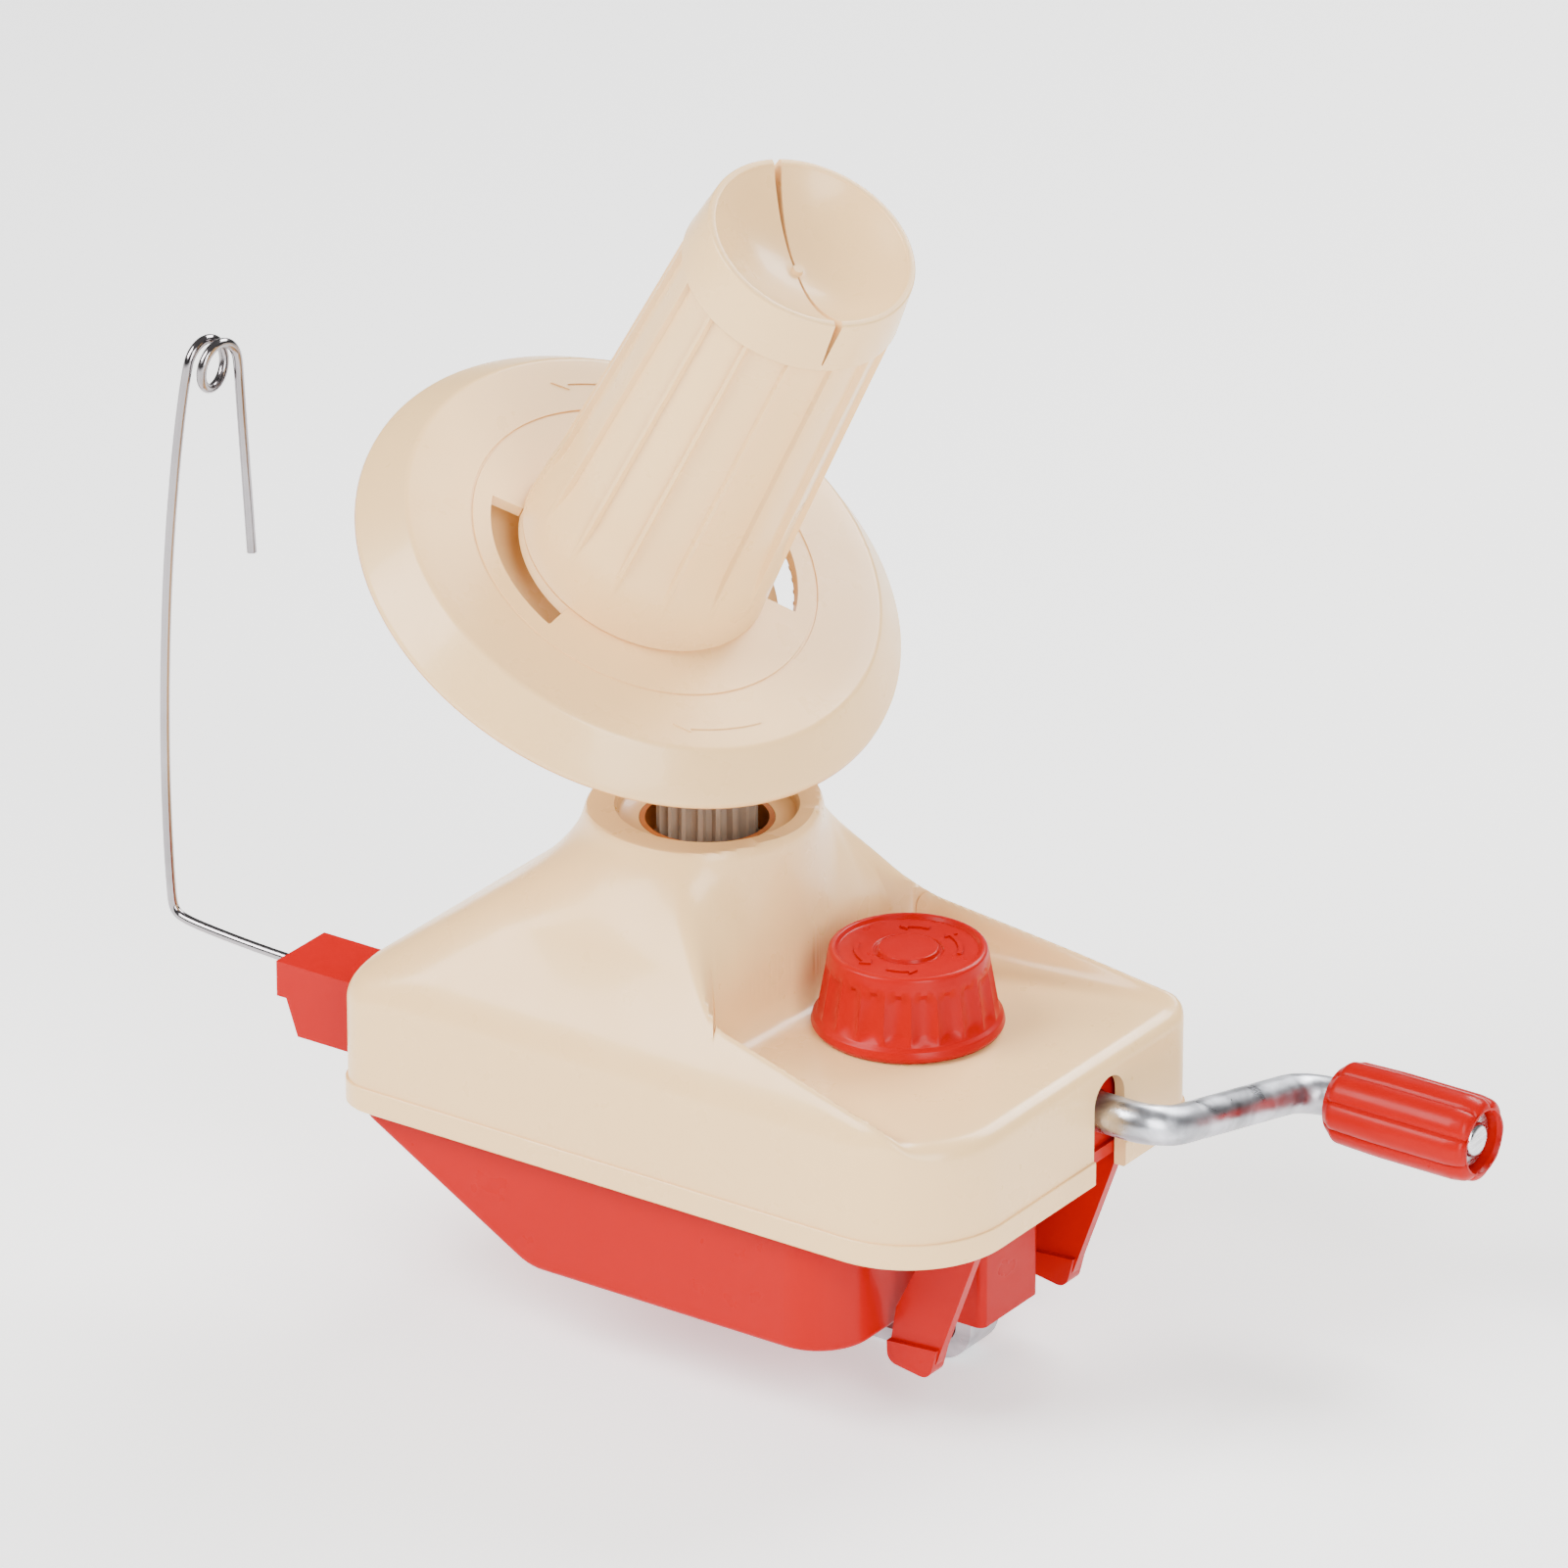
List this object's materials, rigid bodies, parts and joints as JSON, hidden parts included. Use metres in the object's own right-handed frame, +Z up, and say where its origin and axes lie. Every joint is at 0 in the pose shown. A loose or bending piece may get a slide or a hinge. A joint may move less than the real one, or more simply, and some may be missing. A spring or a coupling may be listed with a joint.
{
  "type": "ball winder",
  "caption": "Hand-cranked yarn ball winder with a tilted rolling spool and disc, bent crank, wire yarn guide and screw clamp for a table edge.",
  "frame": {"origin": "where the vertical axis of the winding head meets the seat face, the flat underside that lies on the table", "axes": "+Z up along the head's axis, +X towards the crank end, +Y away from the clamp's open side so that the crank shaft lies on the +Y side"},
  "size_m": [0.2514, 0.1284, 0.2435],
  "materials": {
    "beige": "glossy injection-moulded ABS, warm cream",
    "red": "satin-gloss injection-moulded plastic, bright red",
    "grey_gear": "matt acetal, brown grey",
    "tan_gear": "matt acetal, tan brown",
    "nylon": "matt nylon",
    "orange": "matt plastic, orange",
    "steel": "bright turned steel",
    "zinc": "zinc-plated steel, mottled",
    "wire": "bright nickel-plated spring wire",
    "pad": "dark maroon rubber"
  },
  "bodies": {
    "base": {"upper_housing": "beige", "lower_housing": "red", "housing_screws": "steel", "shaft_post": "red", "crank_block_inner": "red", "crank_block_outer": "red", "shaft_bush": "nylon", "sun_gear": "grey_gear", "neck_ring": "orange", "crank_inner_bush": "nylon", "crank_outer_bush": "nylon", "guide_holder": "red", "clamp_guide": "red"},
    "crank": {"crank_rod": "zinc", "crank_gear": "nylon", "crank_clip": "steel", "grip_washer": "steel", "grip_screw": "steel"},
    "grip": {"crank_grip": "red"},
    "head": {"main_shaft": "steel", "drive_pinion": "grey_gear", "carrier_arm": "beige", "spindle": "steel", "spindle_clip": "steel"},
    "bobbin": {"ring_gear": "tan_gear", "winding_disc": "beige", "spool": "beige", "spool_cap": "beige", "bobbin_bush": "nylon"},
    "knob": {"clamp_knob": "red", "clamp_screw": "steel", "screw_clip": "steel"},
    "hook": {"clamp_hook": "zinc", "clamp_nut": "zinc", "jaw_pad": "pad"},
    "guide": {"guide_wire": "wire"}
  },
  "joints": [
    {"name": "crank_turn", "type": "hinge", "parent": "base", "child": "crank", "pos_m": [0, 0.0148, 0.038], "axis": [1, 0, 0], "continuous": true},
    {"name": "grip_spin", "type": "hinge", "parent": "crank", "child": "grip", "pos_m": [0.12, 0.06735, 0.02558], "axis": [1, 0, 0], "continuous": true},
    {"name": "head_turn", "type": "hinge", "parent": "base", "child": "head", "pos_m": [0, 0, 0.1], "axis": [0, 0, 1], "continuous": true},
    {"name": "bobbin_spin", "type": "hinge", "parent": "head", "child": "bobbin", "pos_m": [0, 0, 0.1655], "axis": [0.5028, -0.1115, 0.8572], "continuous": true},
    {"name": "knob_turn", "type": "hinge", "parent": "base", "child": "knob", "pos_m": [0.0444, 0.0048, 0.05], "axis": [0, 0, 1], "range_deg": [0, 3410]},
    {"name": "hook_slide", "type": "slide", "parent": "base", "child": "hook", "axis": [0, 0, -1], "range_m": [0, 0.0285]},
    {"name": "guide_swing", "type": "hinge", "parent": "base", "child": "guide", "pos_m": [-0.079, -0.028, 0.043], "axis": [1, 0, 0], "range_deg": [-90, 90]}
  ],
  "couplings": [
    {"joint": "head_turn", "follows": "crank_turn", "ratio": -3},
    {"joint": "bobbin_spin", "follows": "crank_turn", "ratio": 0.81818},
    {"joint": "hook_slide", "follows": "knob_turn", "m_per_rad": 0.00047746}
  ]
}
